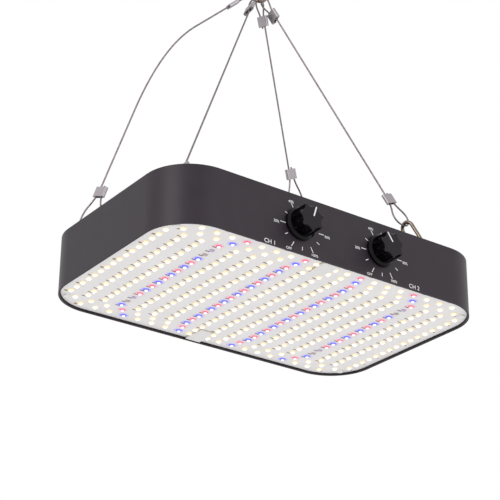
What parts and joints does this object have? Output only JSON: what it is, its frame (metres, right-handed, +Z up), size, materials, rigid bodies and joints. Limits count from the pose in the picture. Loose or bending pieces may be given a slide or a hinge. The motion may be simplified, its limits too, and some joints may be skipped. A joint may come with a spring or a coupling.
{
  "type": "led grow light",
  "caption": "Hanging LED grow light: flat rounded box with a white LED board below, two dimmer knobs, and steel rope legs with snap hooks meeting at a top ring.",
  "frame": {"origin": "where a hook bears inside the top of the hanging ring", "axes": "+Z up, out of the ring; X along the housing; the wall with the dimmer knobs faces -Y"},
  "size_m": [0.3114, 0.2172, 0.3242],
  "materials": {
    "housing": "satin charcoal powder coat",
    "board": "white solder mask on an aluminium board",
    "warm_led": "glowing warm white",
    "cool_led": "glowing cool white",
    "red_led": "glowing deep red",
    "blue_led": "glowing blue",
    "uv_led": "faint violet glow",
    "ir_led": "faint deep red glow",
    "white_plastic": "matt white",
    "zinc": "zinc plated",
    "sink": "plain extruded",
    "driver_case": "plain",
    "black_plastic": "matt black",
    "knob_black": "glossy black with a satin face",
    "pointer_white": "white fill",
    "pot_case": "stamped steel",
    "brass_pin": "bright",
    "hook_nickel": "dark nickel plate",
    "rope_steel": "stranded galvanised steel",
    "sleeve": "pressed, dull"
  },
  "bodies": {
    "lamp": {"housing_shell": "housing", "led_board": "board", "warm_white_leds": "warm_led", "cool_white_leds": "cool_led", "red_leds": "red_led", "blue_leds": "blue_led", "ultraviolet_leds": "uv_led", "infrared_leds": "ir_led", "front_lead_cover": "white_plastic", "back_lead_cover": "white_plastic", "board_screws": "zinc", "heat_sink": "sink", "corner_brackets": "zinc", "driver_screws": "zinc", "left_driver": "driver_case", "right_driver": "driver_case", "junction_block": "white_plastic", "fan_frame": "black_plastic", "fan_guard": "zinc", "fan_screws": "zinc", "left_pot": "pot_case", "right_pot": "pot_case", "pot_washers": "zinc", "pot_nuts": "zinc", "power_inlet": "black_plastic", "inlet_pins": "brass_pin", "inlet_screws": "zinc", "hang_eyes": "zinc", "eye_nuts": "zinc", "front_right_hook": "hook_nickel", "back_right_hook": "hook_nickel", "gate_pins": "hook_nickel", "front_left_rope": "rope_steel", "front_right_rope": "rope_steel", "back_left_rope": "rope_steel", "back_right_rope": "rope_steel", "lower_sleeves": "sleeve", "upper_sleeves": "sleeve", "hang_ring": "hook_nickel"},
    "fan_rotor": {"fan_rotor": "black_plastic"},
    "left_dial": {"left_knob": "knob_black", "left_pointer": "pointer_white", "left_shaft": "sink"},
    "right_dial": {"right_knob": "knob_black", "right_pointer": "pointer_white", "right_shaft": "sink"},
    "front_right_gate": {"front_right_gate": "hook_nickel"},
    "back_right_gate": {"back_right_gate": "hook_nickel"}
  },
  "joints": [
    {"name": "fan_spin", "type": "hinge", "parent": "lamp", "child": "fan_rotor", "pos_m": [0.0093, -0.0046, -0.2882], "axis": [0, 0, 1], "continuous": true},
    {"name": "left_dial_turn", "type": "hinge", "parent": "lamp", "child": "left_dial", "pos_m": [-0.0319, -0.1036, -0.2962], "axis": [0, 1, 0], "range_deg": [-166, 133]},
    {"name": "right_dial_turn", "type": "hinge", "parent": "lamp", "child": "right_dial", "pos_m": [0.0485, -0.1036, -0.2962], "axis": [0, 1, 0], "range_deg": [-115, 184]},
    {"name": "front_right_gate_swing", "type": "hinge", "parent": "lamp", "child": "front_right_gate", "pos_m": [0.12336, -0.06877, -0.2704], "axis": [0.9142, 0.1155, 0.3885], "range_deg": [0, 14], "stiffness_Nm_per_rad": 0.02, "springref_deg": -11.46},
    {"name": "back_right_gate_swing", "type": "hinge", "parent": "lamp", "child": "back_right_gate", "pos_m": [0.12422, 0.06875, -0.27005], "axis": [-0.8918, -0.0504, -0.4496], "range_deg": [0, 14], "stiffness_Nm_per_rad": 0.02, "springref_deg": -11.46}
  ]
}
